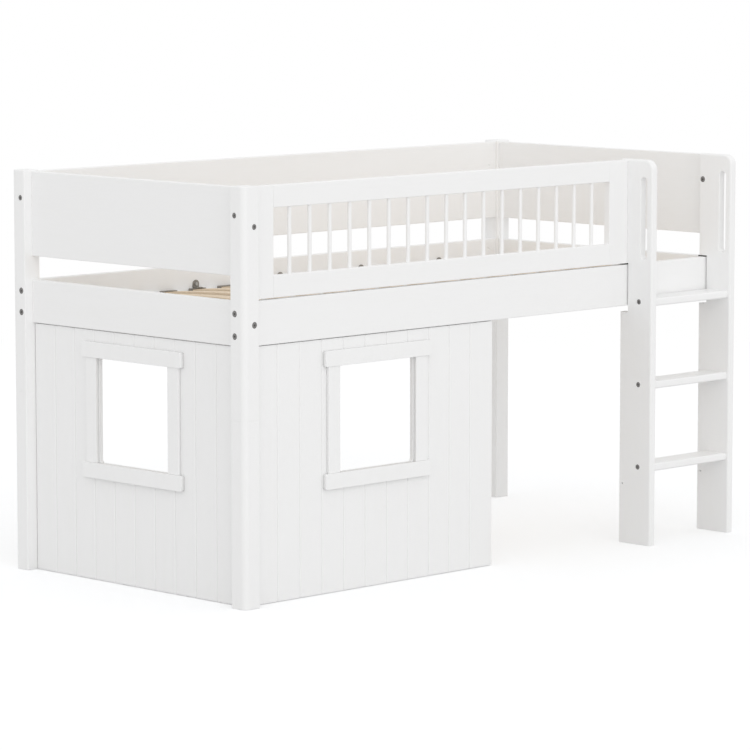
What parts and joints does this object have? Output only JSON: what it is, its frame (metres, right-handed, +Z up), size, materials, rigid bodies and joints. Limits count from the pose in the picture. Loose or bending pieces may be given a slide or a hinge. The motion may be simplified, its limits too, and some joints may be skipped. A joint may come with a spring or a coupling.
{
  "type": "cabin bed",
  "caption": "Half-high white cabin bed with a spindle guard, a front ladder, sprung slats and grooved play-house panels with windows below.",
  "frame": {"origin": "on the floor, below the middle of the bed's outer box", "axes": "+X along the bed to the ladder end, -Y to the front, where the ladder stands, +Z up"},
  "size_m": [2.1, 1.084, 1.2],
  "materials": {
    "white_lacquer": "satin white lacquer",
    "beech": "clear satin",
    "steel": "satin",
    "cap_plastic": "matte"
  },
  "bodies": {
    "root": {"post_front_left_lower": "white_lacquer", "post_front_left_upper": "white_lacquer", "post_back_left_lower": "white_lacquer", "post_back_left_upper": "white_lacquer", "post_back_right_lower": "white_lacquer", "post_back_right_upper": "white_lacquer", "ladder_stile_left": "white_lacquer", "ladder_stile_right": "white_lacquer", "ladder_rung_low": "white_lacquer", "ladder_rung_middle": "white_lacquer", "ladder_rung_top": "white_lacquer", "side_rail_front": "white_lacquer", "side_rail_back": "white_lacquer", "end_rail_left": "white_lacquer", "end_rail_right": "white_lacquer", "guard_back": "white_lacquer", "guard_end_left": "white_lacquer", "guard_end_right": "white_lacquer", "guard_front_top_rail": "white_lacquer", "guard_front_bottom_rail": "white_lacquer", "guard_front_stile_left": "white_lacquer", "guard_front_stile_right": "white_lacquer", "guard_front_spindles": "white_lacquer", "slat_support_front": "white_lacquer", "slat_support_back": "white_lacquer", "slat_01": "beech", "slat_02": "beech", "slat_03": "beech", "slat_04": "beech", "slat_05": "beech", "slat_06": "beech", "slat_07": "beech", "slat_08": "beech", "slat_09": "beech", "slat_10": "beech", "slat_11": "beech", "slat_12": "beech", "slat_13": "beech", "slat_14": "beech", "slat_15": "beech", "slat_16": "beech", "slat_17": "beech", "slat_end_caps": "cap_plastic", "slat_brackets": "steel", "panel_front": "white_lacquer", "panel_left": "white_lacquer", "window_front_header": "white_lacquer", "window_front_sill": "white_lacquer", "window_front_jambs": "white_lacquer", "window_left_header": "white_lacquer", "window_left_sill": "white_lacquer", "window_left_jambs": "white_lacquer", "panel_front_battens": "white_lacquer", "panel_left_battens": "white_lacquer", "connector_bolts": "steel", "barrel_nuts": "steel", "cap_nuts": "steel", "leg_studs": "steel", "wood_dowels": "beech", "wood_screws": "steel"}
  },
  "joints": []
}
